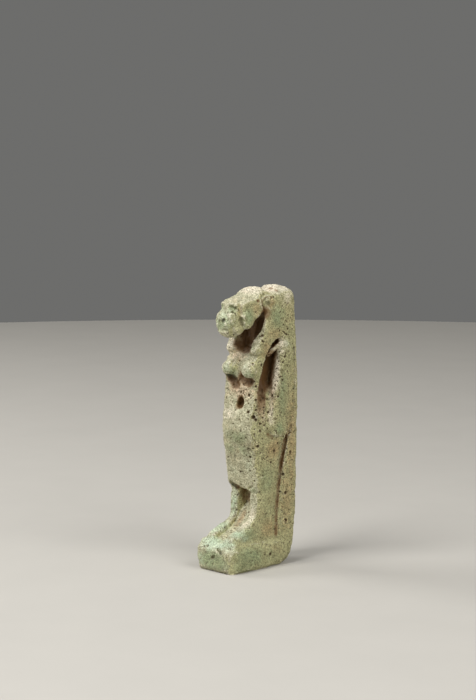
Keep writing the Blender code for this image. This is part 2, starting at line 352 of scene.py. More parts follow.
def press(points: Array, normals: Array, near: Array, line: Array, radius: float, depth: float) -> None:
    """Presses one soft furrow or pit into the points, or draws it out, in place.

    Args:
        points: Rows of x, y and z.
        normals: The normals at those points.
        near: The numbers of the points that it may reach.
        line: The corners of the furrow, or one place for a pit.
        radius: The reach of the tool.
        depth: How deep it goes in. Below nought it comes out.
    """
    if not len(near):
        return
    far = distance_to_line(points[near], line) / radius
    weight = np.clip(1 - far * far, 0.0, 1.0) ** 2
    way = (weight[:, None] * normals[near]).sum(axis=0)
    length = np.linalg.norm(way)
    if length == 0:
        return
    way /= length
    facing = np.clip(normals[near] @ way + TURNED_AWAY, 0.0, 1.0)
    points[near] -= (depth * weight * facing)[:, None] * way


ROLLS: tuple[Roll, ...] = each(
    Roll,
    ("brow", ((0.35, -3.75, 41.6, 0.22), (1, -3.6, 41.72, 0.24), (1.6, -3.15, 41.7, 0.22))),
    ("ear", ((2.75, -0.75, 41.85, 0.26), (2.55, -0.1, 42.2, 0.28), (2.7, 0.6, 42.1, 0.28),
        (2.95, 0.95, 41.5, 0.24))),
    ("arm_ridge", ((3.3, 4.5, 35, 0.5), (3.15, 3.6, 34.6, 0.42), (3.05, 2.8, 34, 0.36),
        (2.8, 2.2, 33.4, 0.34))),
)
LUMPS: tuple[Lump, ...] = each(
    Lump,
    ("breast", (2.2, -1, 31.3), (1.42, 1.25, 1.3)),
    ("cheek", (1.15, -3.9, 39.3), (0.78, 0.85, 1.25)),
    ("jaw", (1.45, -3, 37.9), (0.75, 1.2, 1.05)),
    ("mane", (2.35, -1.7, 39.2), (0.7, 1.35, 1.5)),
    ("lappet_end", (2.7, -0.2, 34.3), (0.95, 0.75, 0.7)),
    ("ear_stump", (3.05, 2.15, 42), (0.6, 0.75, 0.8)),
)
CHANNELS: tuple[Roll, ...] = each(
    Roll,
    ("neck_hollow", ((2.6, 1.5, 40.3, 0.45), (2.5, 1.2, 39, 0.62), (2.2, 0.7, 37.8, 0.8),
        (1.5, 0.3, 36.2, 0.66), (1, -0.2, 34.9, 0.5))),
    ("neck_back", ((2.2, 2.2, 39.8, 0.5), (1.7, 2, 38.4, 0.7), (1.1, 1.6, 36.9, 0.65), (0.6, 1, 35.5, 0.5))),
    ("throat", ((0, 0.9, 37.2, 0.7), (0, 0.6, 35.8, 0.65), (0, 0.1, 34.7, 0.5), (0.1, -0.4, 34, 0.35)),
        False),
    ("slot_top", ((3.2, 3.5, 35.75, 0.28), (2.9, 2.7, 35.1, 0.34), (2.8, 2.1, 34.2, 0.36))),
    ("slot_floor", ((2.2, 3, 33.6, 0.5), (2, 2.5, 31.8, 0.62), (2.15, 1.8, 30.3, 0.6), (2.5, 1.2, 29.3, 0.5),
        (2.85, 1, 28.3, 0.42))),
    ("groove_deep", ((3.15, 5.95, 20.2, 0.13), (3.15, 5.5, 19.1, 0.21), (3.15, 5, 17.4, 0.24),
        (3.15, 4.9, 16.6, 0.2), (3.15, 4.5, 15, 0.26), (3.15, 4.2, 12.9, 0.22), (3.15, 4, 11, 0.26),
        (3.15, 3.85, 9.2, 0.26), (3.15, 3.72, 7, 0.27), (3.2, 3.8, 5.1, 0.18))),
    ("groove_wide", ((3.5, 5.9, 20.1, 0.12), (3.5, 5.5, 19.1, 0.22), (3.5, 5, 17.4, 0.25),
        (3.5, 4.9, 16.6, 0.21), (3.5, 4.5, 15, 0.29), (3.5, 4.15, 12.9, 0.23), (3.5, 4, 11, 0.28),
        (3.45, 3.85, 9.2, 0.26), (3.45, 3.72, 7, 0.28), (3.45, 3.8, 5.1, 0.17))),
    ("leg_hollow", ((0, 0.4, 11.6, 0.55), (0, 0.9, 10.9, 0.6), (0, 1.2, 10.1, 0.45)), False),
)
HOLES: tuple[Lump, ...] = each(
    Lump,
    ("navel", (0.25, -1.2, 26.15), (0.5, 1, 0.9), (0, 22, 0), False),
    ("eye", (1.1, -4, 41.12), (0.38, 0.55, 0.32), (0, 0, 0), False),
    ("far_eye", (-1.55, -3.55, 41.1), (0.3, 0.4, 0.3), (0, 0, 0), False),
    ("eye_corner", (1.5, -3.55, 40.9), (0.3, 0.34, 0.26)),
    ("eye_bag", (1.34, -3.85, 40.4), (0.22, 0.26, 0.24)),
    ("nostril", (0.4, -4.95, 39.2), (0.26, 0.3, 0.22), (0, 0, 0), False),
    ("far_nostril", (-0.5, -4.95, 39.1), (0.16, 0.2, 0.16), (0, 0, 0), False),
)
STROKES: tuple[Stroke, ...] = each(
    Stroke,
    # The face
    (((1.9, -3.05, 41.6), (2, -2.95, 40.6), (2.02, -2.85, 39.5), (2.15, -2.5, 38.6), (2.3, -1.8, 37.9)), 0.34,
        0.2),
    (((1, -3.95, 41.25), (1.6, -3.45, 40.8)), 0.5, 0.2),
    (((0, -4, 41), (0, -4.5, 40.1)), 0.5, 0.1, False),
    (((1.55, -4.1, 39),), 0.75, -0.12),
    (((0.9, -4.6, 40.2), (1.3, -4.2, 39.9)), 0.4, -0.1),
    (((-0.1, -4.8, 39.9),), 0.3, 0.12, False),
    (((0.3, -4.95, 37.6), (0.95, -4.85, 37.7), (1.55, -4.1, 37.95), (1.75, -3.1, 38)), 0.3, 0.14),
    (((1.6, -3.6, 37.7),), 0.25, 0.2),
    (((2.2, -2.8, 39.3), (2.15, -2.6, 38.6)), 0.62, 0.34),
    (((0, -5.05, 38.95), (0, -5.05, 37.9)), 0.25, 0.1, False),
    (((1.45, -3.6, 37.2),), 0.7, 0.15),
    (((0.75, -4.75, 38.5),), 0.6, -0.14),
    # The ear, the crown and the wig
    (((2.85, -0.05, 41.9),), 0.3, 0.34),
    (((1.15, -1.55, 42.5),), 0.24, 0.22, False),
    (((2.7, 1.2, 42.7), (2.95, 0.85, 42.1), (3.2, 0.8, 41.4), (3.1, 1.2, 40.3)), 0.4, 0.22),
    (((2.95, 1.6, 42.1),), 0.3, 0.25),
    (((3.7, 2.2, 41.05), (3.7, 3, 41.3)), 0.55, 0.3),
    (((-2.6, 3.3, 43.4), (-1, 3.65, 43.9), (0, 3.75, 43.9), (1, 3.5, 43.8), (2, 2.9, 43.3)), 0.85, 0.62,
        False),
    (((-1.2, -1.5, 43.4), (0, -1.68, 43.5), (1.2, -1.9, 43.2)), 0.9, 0.35, False),
    (((-1.4, 4.6, 44), (-2.6, 5.2, 43.8), (-3.6, 5.6, 43.4)), 1.5, 0.75, False),
    (((1.6, 2.2, 43.6), (2.6, 1.7, 42.9), (3, 1.8, 42)), 0.5, 0.26),
    (((1.85, 2.85, 43.6), (1.85, 3.75, 43.3), (3.2, 3.9, 43)), 0.28, 0.14, False),
    (((2.5, -1.3, 40.9), (2.7, -0.6, 39.6)), 1, 0.1),
    # The chest
    (((-0.45, -1, 32.6), (-0.2, -1.05, 31.4), (0.1, -1.05, 30.4)), 0.6, 0.25, False),
    (((-1.9, -1.2, 30), (-1.2, -1.1, 29.3), (-0.8, -1.1, 28.7)), 0.85, 0.6, False),
    (((-2.7, -1.1, 29.9), (-1.9, -1.2, 29.7)), 0.6, 0.3, False),
    (((0.5, -1, 30), (1.2, -0.95, 29.5), (2, -0.8, 29.6)), 0.75, 0.6, False),
    (((1.4, -0.9, 29),), 0.6, 0.3, False),
    (((-2.45, -0.5, 33.75), (-1.5, -0.45, 33.75)), 0.4, 0.22, False),
    (((1.85, -0.5, 34.7), (1.8, -0.4, 33.4)), 0.3, 0.2),
    (((2.1, -0.7, 33.1), (2.9, -0.75, 33.15), (3.4, -0.2, 33.3)), 0.3, 0.18),
    (((3.35, 0.8, 34.2), (3.5, 0.4, 35.6), (3.5, 0.8, 36.6)), 0.5, 0.08),
    # The valley between the belly and the arm, and the hand
    (((2.6, 1.3, 28.9), (3, 1, 28)), 1, 0.6),
    (((2.9, 0.7, 28), (3.3, 0.6, 26.4), (3.5, 0.45, 24.6), (3.6, 0.3, 22.8)), 1.25, 0.42),
    (((3.2, 2.1, 27.9), (3.3, 1.9, 26), (3.45, 1.55, 24), (3.5, 1.3, 22.4)), 0.5, 0.22),
    (((3.4, 1.5, 21.1), (3.6, 2.3, 20.6), (3.8, 3.2, 20.2), (3.8, 4.6, 20.2)), 0.55, 0.3),
    (((3.55, 2.3, 22.3), (3.75, 3, 21.6)), 0.8, -0.12),
    # The hem and the legs
    (((-2.6, -0.6, 13.05), (-1.9, -0.45, 12.75), (-1.3, -0.35, 12.5)), 0.34, 0.3),
    (((-1.4, -0.35, 12.5),), 0.4, 0.3, False),
    (((2.3, -0.2, 12), (3.2, 0.2, 11.6), (3.3, 1, 11.5)), 0.5, 0.16),
    (((2.4, -4.5, 6.9), (2.1, -2.5, 7.6), (2.1, -0.9, 8.4)), 0.5, -0.12),
    (((-2.1, -4.2, 6.9), (-2.1, -2.5, 7.6), (-2.1, -1.1, 8.2)), 0.5, -0.12, False),
    (((1.3, -5, 5.2), (1.15, -3, 5.8), (1.1, -1.6, 6.5), (1.1, -0.6, 7.4), (1.05, 0, 8.6)), 0.42, 0.22,
        False),
    (((-1.3, -4.6, 5.2), (-1.2, -3, 5.7), (-1.2, -1.6, 6.4), (-1.15, -0.6, 7.3), (-1.1, 0, 8.6)), 0.42, 0.22,
        False),
    (((0, -4.2, 5), (0, -1.6, 6.3), (0, -0.3, 8)), 1, 0.15, False),
    # The plinth's worn edges and marks
    (((4.1, -6.8, -0.4), (4.1, -6.8, 3.9)), 1.7, 0.6, False),
    (((4, 6.2, 0),), 2, 0.8),
    (((4.05, 5, 0), (4.05, 2.5, 0)), 1, 0.25),
    (((-4.1, -6.8, -0.4), (-4.1, -6.8, 0.8)), 1.1, 0.4, False),
    (((-4.1, -6.8, 4.6),), 1.3, 0.4, False),
    (((-4.1, -6.8, 4.7), (-1.5, -6.8, 4.6), (1.5, -6.8, 4.4), (4.1, -6.8, 4.1)), 1.5, 0.5, False),
    (((-3.3, -6.8, 4.6),), 1, 0.2, False),
    (((3.6, -6.8, 4.2),), 0.9, 0.2, False),
    (((4.1, -6.4, 4.1), (4.1, -3, 3.9), (4.1, 1, 3.7)), 0.7, 0.16),
    (((-4.1, -6.8, 0), (0, -6.8, 0), (4.1, -6.8, 0)), 0.6, 0.2, False),
    (((4.1, -6, 0), (4.1, 0, 0), (4.1, 6, 0)), 0.6, 0.18),
    (((0.66, -6.5, 3.7), (1.2, -6.6, 3.4), (1.6, -6.6, 3)), 0.36, 0.3, False),
    (((-0.25, -6.8, 2.2), (0.1, -6.8, 2.5)), 0.36, 0.28, False),
    (((0.45, -6.8, 3),), 0.25, 0.15, False),
    (((3.85, 6.5, 1), (3.9, 7.4, 3), (3.9, 8.2, 6)), 0.9, 0.16),
)
# Lines of darker glaze: dirt along the groove, the pillar's scratches and the plinth's marks, and painted
# shade in the slot and the valley, under the chin, under the breasts, the hem, the belly and the hand, between
# the legs and in the eyes, nostrils and ear
SEAMS: tuple[Seam, ...] = each(
    Seam,
    (((3.3, 5.9, 20.3), (3.3, 5.45, 19.2), (3.3, 4.95, 16.8), (3.3, 4.5, 15), (3.3, 4.15, 12.4),
        (3.3, 3.85, 9.2), (3.3, 3.75, 7), (3.3, 3.8, 5)), 0.4, 0.85),
    (((3, 3.4, 35.7), (2.8, 2.5, 35), (2.8, 2.1, 34)), 0.5),
    (((2.7, 3, 33.4), (2.6, 2.5, 31.8), (2.6, 1.8, 30.2), (2.6, 1.3, 28.9)), 1.1, 0.95),
    (((1.6, 3.4, 33.6), (1.5, 3.2, 31.6), (1.6, 2.6, 29.6), (2.2, 1.6, 28.4)), 1.3),
    (((2.4, 1.7, 33), (2.3, 1.2, 31.6), (2.3, 1, 30.4), (2.5, 0.8, 29)), 0.8),
    (((2.7, 1.2, 28.8), (2.95, 1.1, 28.2)), 1.2, 1),
    (((3, 0.9, 27.8), (3.15, 0.85, 27)), 1.2, 0.8),
    (((3.3, 0.7, 25.8),), 1.5, 0.42),
    (((2.6, 1.6, 40.2), (2.3, 1.8, 39), (1.7, 1.8, 37.6), (1, 1.4, 36.2), (0.4, 0.6, 35)), 1.25),
    (((0.7, 2.6, 38.6), (0, 1.9, 36.8), (-0.8, 1.4, 35.6)), 1.5, 1, False),
    (((-1.5, 0.4, 34.9), (0, 0.2, 34.6), (1.3, 0.2, 34.8)), 1.1, 1, False),
    (((-2.2, -1.1, 30), (-1.4, -1.1, 29.5), (-0.8, -1.1, 28.9)), 0.9, 1, False),
    (((0.4, -0.9, 30.1), (1.2, -0.9, 29.6), (1.9, -0.8, 29.4)), 0.9, 1, False),
    (((-0.3, -1, 31), (0, -1, 30.4)), 0.6, 0.25, False),
    (((-2.7, -0.5, 12.9), (-1.3, -0.2, 12.4), (0, 0.1, 12), (1.4, 0, 11.9)), 0.35, 0.5, False),
    (((-2.3, -0.5, 12.6), (-1.2, -0.3, 12.2)), 0.5, 0.9, False),
    (((-0.5, 0.7, 11.4), (-0.3, 1.2, 10.5)), 1, 0.7, False),
    (((-0.4, 0.2, 8.6), (-0.3, -1, 6.8)), 0.8, 0.3, False),
    (((0.4, -0.8, 26.6), (0.1, -0.8, 25.6)), 0.8, 1, False),
    (((0, -1.6, 25.5),), 0.7, 0.4, False),
    (((-0.5, -2, 20.6), (1.5, -1.8, 20.2)), 2, 0.24, False),
    (((3, 0.85, 42), (3.2, 0.8, 41.4), (3.1, 1.1, 40.5)), 0.3, 0.6),
    (((2.91, 0.04, 42),), 0.32, 0.85),
    (((2.95, 1.6, 42.1),), 0.3, 0.6),
    (((3.2, 0.62, 41.4), (3, 1, 42), (3.05, 1.7, 42.45), (3.4, 2.4, 42.4)), 0.26, 0.62),
    (((3.35, 1.75, 41.6),), 0.55, 0.5),
    (((0.5, 4.9, 43.5), (1.2, 4.85, 43.45)), 0.3, 0.5, False),
    (((1.9, 4.8, 43.35), (2.6, 4.6, 43.2)), 0.26, 0.45, False),
    (((1.1, -3.95, 41.15),), 0.44, 0.9, False),
    (((1.48, -3.54, 40.95),), 0.36, 0.75),
    (((-1.5, -3.6, 41.05),), 0.36, 0.6, False),
    (((1.34, -3.86, 40.4),), 0.34, 0.6),
    (((0.34, -4.9, 39.2),), 0.44, 0.95, False),
    (((-0.5, -4.9, 39.1),), 0.34, 0.75, False),
    (((2.2, -2.75, 39.3), (2.15, -2.6, 38.7)), 0.55, 0.6),
    (((0.9, -4.8, 37.7), (1.6, -3.6, 37.7)), 0.2, 0.4),
    (((1.6, -3.55, 37.65),), 0.26, 0.7),
    (((0.66, -6.45, 3.7), (1.2, -6.5, 3.4), (1.6, -6.5, 3)), 0.26, 0.85, False),
    (((-0.35, -6.75, 2.2), (0.2, -6.75, 2.45)), 0.34, 0.7, False),
    (((3.4, 1.8, 21), (3.6, 2.6, 20.4)), 0.42, 0.5),
)
PITS: tuple[Quad, ...] = (
    (1.99, -1, 27.4, 0.3), (3.06, -1.05, 24, 0.4), (3.2, -0.7, 23.6, 0.3), (3.43, 0, 24.5, 0.25),
    (3.53, 0.23, 22.9, 0.25), (3.55, -0.1, 21.8, 0.3), (2.23, -1.43, 24.8, 0.28), (3.4, -0.4, 19.4, 0.3),
    (3.12, -1.1, 32.8, 0.25), (3.33, 0.5, 32.1, 0.3), (3.43, 0.2, 18.3, 0.2), (2.25, -1, 17.6, 0.25),
    (-2.43, -1.25, 17.1, 0.2), (-0.19, -0.8, 15, 0.25), (-2.4, -0.85, 14.8, 0.2), (1.9, -0.65, 15.4, 0.2),
    (2.44, -0.3, 13.8, 0.2), (3.44, 3.1, 18.3, 0.3), (3.43, 3.9, 19.4, 0.25), (3.41, 1.6, 17.5, 0.2),
    (3.38, 2.5, 16.6, 0.25), (3.8, 6.4, 17.8, 0.3), (3.78, 6.4, 20.9, 0.2), (3.65, 4.9, 14.4, 0.3),
    (3.77, 5.3, 11.4, 0.32), (3.4, 4.4, 11.6, 0.25), (3.78, 5.45, 7, 0.3), (3.13, 1.65, 8.4, 0.2),
    (3.97, 1.8, 2.1, 0.3), (4.03, -2.1, 1.7, 0.2), (4.04, 4.85, 33.1, 0.28), (4.01, 4.3, 29.4, 0.25),
    (3.96, 3.5, 26.9, 0.26), (3.29, 2.75, 27.1, 0.25), (3.82, 6.2, 24.3, 0.2), (3.97, 3.8, 29.9, 0.2),
    (3.7, 0.4, 35.8, 0.24), (3.43, 0.4, 36.7, 0.26), (3.78, 5.8, 37.3, 0.24), (3.78, 5.5, 36.5, 0.26),
    (3.77, 5.3, 38.7, 0.18), (3.09, -0.5, 26.7, 0.25), (3.26, 1, 26.8, 0.25), (3.28, -0.3, 25.7, 0.22),
    (3.37, 1.1, 25.3, 0.22), (3.16, 2, 24.5, 0.25), (3.2, -0.6, 25.1, 0.25), (3.5, 0.6, 23.8, 0.22),
    (1.88, -0.9, 30, 0.2), (0.66, -1, 29, 0.22), (-0.17, -1.05, 29.5, 0.2), (-1.21, -1.15, 28.8, 0.2),
    (0.34, -1.1, 27.7, 0.2), (2.96, -0.4, 28.8, 0.25), (1.85, -0.2, 10.7, 0.2), (4.04, 5.5, 31.5, 0.2),
    (4.02, 4.4, 32.2, 0.22), (3.75, 3.8, 32.4, 0.2), (3.62, 3.1, 28.7, 0.2), (3.61, 2.8, 42.5, 0.22),
    (3.02, -0.5, 40.35, 0.18), (2.7, -1.7, 40.4, 0.18), (-3.6, 2, 38, 0.26), (-3.9, 4.6, 30, 0.28),
    (-3.4, 2.2, 16.8, 0.3), (-3.7, 5.6, 13, 0.3), (-4, -1.4, 2, 0.28), (1.2, 7.9, 30, 0.3),
    (-1.6, 8, 21, 0.32), (0.6, 7.6, 9, 0.28),
)
DABS: dict[Mask, tuple[Dab, ...]] = {
    Mask.POROUS: each(
        Dab,
        ((3.4, 0.8, 26), (1.2, 1.8, 3.6), 1.2), ((3.9, 4.6, 30.5), (0.8, 2, 5), 0.8),
        ((3.7, 3.6, 25.5), (1, 1.4, 4), 0.7), ((3.5, 3.9, 9.2), (0.8, 0.45, 5), 1),
        ((3.5, 4.6, 15.5), (0.8, 0.5, 3.2), 1), ((3.5, 5.5, 18.8), (0.8, 0.5, 2), 1),
        ((3.7, 6.2, 16), (1.2, 2.2, 14), 0.5), ((3.7, 5.6, 37.5), (1.2, 2, 4), 0.35),
        ((3.5, 1.5, 35.5), (1, 2.2, 3), 0.4), ((0.5, -1.2, 28.2), (3.2, 1, 2.4), 0.5),
        ((3.4, 2, 18.6), (1, 2.8, 3), 0.4), ((-0.4, -0.4, 7.6), (1.2, 2.6, 3.4), 1, False),
        ((1.4, -0.8, 19), (2.6, 1.6, 2.6), 0.3), ((0, 8.2, 22), (4, 1.2, 18), 0.3),
    ),
    # Green glaze, and painted shade on the belly's underside and under the breasts
    Mask.GREEN: each(
        Dab,
        ((3.8, 3.6, 39.2), (1.4, 1.7, 2.3), 0.9), ((4, 4.4, 26.5), (0.9, 1.3, 5.5), 0.75),
        ((3.9, 3.8, 21.8), (0.9, 1.4, 1.6), 0.8), ((4, 5, 34), (1, 1.3, 1.5), 0.35),
        ((4.2, -3, 2), (1.2, 4, 2.6), 1), ((3.2, -2.4, 5.6), (1.4, 2.8, 1.5), 0.7),
        ((3.3, 1.6, 13.8), (0.9, 2.4, 2.8), 0.65), ((3.3, 2, 10), (0.9, 1.8, 3), 0.4),
        ((0.5, -2, 20.6), (3, 1.3, 1.5), 0.7), ((1.6, -1.6, 18.6), (2, 1.2, 1.6), 0.6),
        ((2.6, -1.4, 30.7), (1.2, 1.2, 0.9), 0.8), ((-1.3, -1.4, 30.6), (0.9, 1.2, 1.2), 0.9, False),
        ((2.6, -0.6, 34.3), (0.8, 0.6, 0.9), 0.6), ((2.2, -0.4, 12.2), (1.2, 1, 0.9), 0.6, False),
        ((1.2, -4.2, 40.4), (1.8, 1.8, 1.4), 0.4), ((0.4, -4.9, 38.8), (1.8, 1.1, 1.8), 0.75),
        ((1.3, -3.7, 41), (1, 0.9, 1), 0.9), ((-2.2, -2, 30.9), (1.3, 1.1, 0.8), 0.7, False),
        ((2.7, -1.9, 39.6), (0.9, 1.3, 1.7), 1), ((4.2, 2.6, 2), (1.2, 3.6, 2.2), 0.5),
        ((0, -6.9, 1.8), (4.4, 0.7, 2.2), 1), ((3.4, 1.6, 41.8), (0.9, 1.4, 1.1), 0.5),
    ),
    # Pale cream where the glaze has worn, and painted highlight on the head and pillar tops, the arm's front,
    # the right breast and the edge of her right side
    Mask.CREAM: each(
        Dab,
        ((3.3, 3.4, 31), (0.9, 0.9, 4.4), 1.1), ((3.9, 4.2, 34), (0.8, 1.4, 1.6), 0.5),
        ((3.5, 2.3, 24), (0.6, 0.7, 3), 0.6), ((3.4, 4.6, 35), (0.9, 1.2, 1.2), 0.85),
        ((-3.2, -1.6, 31.6), (0.9, 1, 1.2), 0.7, False), ((0, 1.2, 43.9), (3.2, 2.8, 1.2), 1),
        ((0, 5.6, 43.6), (4.2, 3.4, 1.5), 1), ((0, -2.4, 42.5), (2.2, 2.2, 0.9), 0.4),
        ((3.3, 5.8, 42.2), (1.4, 2, 1.6), 0.6), ((-1.6, -1.7, 24.2), (2, 1.2, 2), 0.6, False),
        ((-3.5, -0.8, 20), (1, 1.5, 7), 0.6, False), ((2.3, -0.4, 36.1), (1.1, 1, 1.2), 0.5),
        ((-2.3, -0.6, 35.3), (1.4, 1, 1.9), 0.8, False), ((3, 1, 38.6), (0.8, 0.8, 2.2), 0.5),
        ((2, -0.4, 8.4), (0.8, 0.8, 3), 0.7, False), ((2, -2.2, 7), (0.9, 2.4, 1.4), 0.6, False),
    ),
    Mask.MINT: each(
        Dab,
        ((0, -6, 4.6), (4.5, 1.9, 1.3), 1), ((2.4, -4.2, 6), (1.4, 2.2, 1.4), 0.8),
        ((-2.2, -3.6, 6.4), (1.3, 2.6, 1.5), 1, False), ((-3, -6.9, 1.4), (1.4, 0.8, 1.6), 0.4, False),
        ((0, -6.8, 4.1), (4.6, 0.8, 0.8), 0.9), ((2.2, -6.9, 1.2), (1.2, 0.8, 1), 0.3, False),
        ((2.1, -0.6, 9.5), (0.9, 1, 3), 0.45), ((-2.2, -0.6, 9.8), (1.2, 1, 3.2), 0.8, False),
        ((0.8, -4.3, 39.3), (2.3, 2, 2.8), 0.4), ((2.2, -1.9, 31.7), (1.4, 0.9, 1.1), 0.5),
        ((3.95, 5, 35.1), (0.9, 1.4, 0.9), 0.5), ((1.6, -0.9, 16), (1.8, 0.8, 2.8), 0.25),
        ((2.5, -3.4, 5.2), (1.2, 1.6, 0.8), 0.9),
    ),
    Mask.OCHRE: each(
        Dab,
        ((3.8, 6.6, 20), (1, 1.4, 11), 0.8), ((3.8, 5.6, 10), (1, 1.8, 7), 0.7),
        ((3.5, 3, 18.6), (0.9, 2.2, 1.9), 0.95), ((3.2, 2.4, 6.2), (1, 2.4, 1.9), 0.8),
        ((3.7, 3.2, 36.8), (1, 2, 1.4), 0.7), ((3.6, 1.2, 34.6), (0.9, 1.4, 1.8), 0.7),
        ((4.1, 3.2, 2.6), (0.9, 2.4, 1.6), 0.6), ((3.2, -0.4, 40.8), (0.9, 1.4, 1.5), 0.7),
        ((3.5, 2.2, 41.6), (0.7, 1, 0.9), 1), ((2, -2.9, 40.6), (0.5, 0.6, 1.4), 0.6),
        ((-1.5, -1.5, 17.2), (1.6, 1, 1.5), 0.4, False), ((0, 8.3, 22), (4.2, 1.2, 17), 0.5),
        ((-0.4, -0.6, 7.4), (0.9, 2.4, 2.6), 0.6, False),
    ),
    Mask.ROSE: each(
        Dab,
        ((0, -1.2, 28.2), (3, 1, 2), 0.9), ((-1, -0.8, 33.4), (2.2, 1.2, 1.3), 0.7, False),
        ((3.2, 2.9, 28.5), (0.8, 0.9, 5), 0.7), ((3.4, 0.6, 26), (1, 1.5, 3.2), 0.9),
        ((3.6, 6.6, 41), (1.2, 1.6, 2.2), 0.35), ((0, 4, 43.4), (3, 1.4, 1.2), 0.4),
        ((-2.3, -0.7, 35.6), (1.2, 0.8, 1.2), 0.35, False),
    ),
}


def dabbed(mask: Mask, points: Array) -> Array:
    """How strongly each place is dabbed with one tone.

    Args:
        mask: The tone.
        points: Rows of x, y and z.

    Returns:
        One number from 0 to 1 for each place.
    """
    total = np.zeros(len(points))
    for dab in DABS.get(mask, ()):
        for side in sides(dab):
            place = np.array(dab.place) * MM * (side.value, 1, 1)
            far = (((points - place) / (np.array(dab.reach) * MM)) ** 2).sum(axis=1)
            total = np.maximum(total, dab.strength * np.exp(FADE * far))
    return np.clip(total, 0.0, 1.0)


@dataclass(frozen=True)
class Casting:
    """The moulded body: the solid's own form, with the finer forms laid on and the deep hollows cut in."""

    name: str = "figurine_casting"
    coarse_grain: float = 0.16
    fine_grain: float = 0.11
    first_wear: int = 9
    last_wear: int = 2
    rolls: tuple[Roll, ...] = ROLLS
    lumps: tuple[Lump, ...] = LUMPS
    channels: tuple[Roll, ...] = CHANNELS
    holes: tuple[Lump, ...] = HOLES
    strokes: tuple[Stroke, ...] = STROKES

    def cast(self, node: Object) -> Object:
        """Makes the body from a copy of the solid.

        Args:
            node: The solid, which stays as it is.

        Returns:
            The carved body, before its pores.
        """
        body = twin(node)
        body.parent = None
        body.name = self.name
        body.data.materials.clear()
        pick(body)
        bpy.ops.object.mode_set(mode="EDIT")
        bpy.ops.mesh.select_all(action="SELECT")
        bpy.ops.mesh.remove_doubles(threshold=WELD)
        bpy.ops.object.mode_set(mode="OBJECT")
        body = join([body, *self.model_all((*self.rolls, *self.lumps))], self.name)
        self.reskin(body, self.coarse_grain, self.first_wear)
        cutter = join(self.model_all((*self.channels, *self.holes)), "hollows")
        apply_modifier(cutter, "REMESH", mode="VOXEL", voxel_size=self.fine_grain * MM)
        apply_modifier(body, "BOOLEAN", operation="DIFFERENCE", object=cutter)
        bpy.data.objects.remove(cutter)
        self.reskin(body, self.fine_grain, self.last_wear)
        self.stroke_all(body)
        return body

    def model_all(self, shapes: tuple[Roll | Lump, ...]) -> list[Object]:
        """The objects of the shapes, each with its twin on the other side where it has one."""
        return [shape.model(side) for shape in shapes for side in sides(shape)]

    def reskin(self, body: Object, grain: float, wear: int) -> None:
        """Gives the body one even skin and wears it.

        Args:
            body: The object to change.
            grain: The size of the skin's faces, in millimetres.
            wear: How often it is smoothed.
        """
        apply_modifier(body, "REMESH", mode="VOXEL", voxel_size=grain * MM, use_smooth_shade=True)
        apply_modifier(body, "SMOOTH", factor=0.5, iterations=wear)

    def stroke_all(self, body: Object) -> None:
        """Presses every stroke of the tool into the body."""
        points = read_points(body.data)
        normals = read_normals(body.data)
        for stroke in self.strokes:
            radius = stroke.radius * MM
            for path in paths(stroke):
                press(points, normals, boxed(points, path, radius), path, radius, stroke.depth * MM)
        write_points(body.data, points)


@dataclass(frozen=True)
class Weathering:
    """What the casting and the years left on the surface: soft waves, grit, pores and the larger pits."""

    seed: int = 11
    pore_count: int = 5500
    smallest_pore: float = 0.065
    largest_pore: float = 0.17
    rarity: float = 3.2
    everywhere: float = 0.12
    pit_share: float = 0.85
    pit_reach: float = 1.25
    pit_depth: float = 1.5
    pit_middle: float = 0.7
    sole: float = 0.02
    waves: tuple[tuple[float, float], ...] = ((2.6, 0.22), (0.9, 0.15), (0.35, 0.10))
    triangles: int = 192_000
    pits: tuple[Quad, ...] = PITS

    def wave(self, body: Object) -> None:
        """Lays soft waves and grit over the whole surface."""
        for size, height in self.waves:
            texture = bpy.data.textures.new("grit", "CLOUDS")
            texture.noise_scale = size * MM
            texture.noise_depth = 1
            settings = {"texture": texture, "texture_coords": "LOCAL", "strength": height * MM}
            apply_modifier(body, "DISPLACE", mid_level=0.5, **settings)
            bpy.data.textures.remove(texture)

    def holes(self, points: Array) -> tuple[Array, Array]:
        """Chooses the pores among the places of the surface, and adds the larger pits.

        Args:
            points: The vertices of the body, as rows of x, y and z.

        Returns:
            The middles of the holes, and their radii.
        """
        chance = np.random.default_rng(self.seed)
        share = self.everywhere + dabbed(Mask.POROUS, points)
        share /= share.sum()
        chosen = chance.choice(len(points), self.pore_count, replace=False, p=share)
        spread = chance.random(self.pore_count) ** self.rarity
        radii = self.smallest_pore + (self.largest_pore - self.smallest_pore) * spread
        pits = np.array(self.pits)
        nearest = [np.linalg.norm(points - pit * MM, axis=1).argmin() for pit in pits[:, :3]]
        places = np.vstack([points[chosen], points[nearest]])
        return places, np.concatenate([radii, self.pit_share * pits[:, 3]]) * MM

    def sink(self, body: Object, places: Array, radii: Array) -> Array:
        """Sinks the holes into the body and sets it flat on its underside again.

        Args:
            body: The object to change.
            places: Where the holes lie on the surface.
            radii: Their radii.

        Returns:
            The middles of the sunk holes, below the old surface.
        """
        middles = places.copy()
        points = read_points(body.data)
        normals = read_normals(body.data)
        tree = search_tree(points)
        for number, (place, radius) in enumerate(zip(places, radii)):
            reach = self.pit_reach * radius
            near = np.array([index for _, index, _ in tree.find_range(place, reach)], dtype=int)
            press(points, normals, near, place[None, :], reach, self.pit_depth * radius)
            outward = normals[near].sum(axis=0)
            middles[number] -= self.pit_middle * radius * outward / (np.linalg.norm(outward) or 1.0)
        points[points[:, 2] < self.sole * MM, 2] = 0.0
        write_points(body.data, points)
        return middles

    def thin(self, body: Object) -> None:
        """Thins the skin to its number of triangles, where it is plain first."""
        apply_modifier(body, "TRIANGULATE")
        share = self.triangles / len(body.data.polygons)
        if share < 1:
            apply_modifier(body, "DECIMATE", ratio=share, use_collapse_triangulate=True)


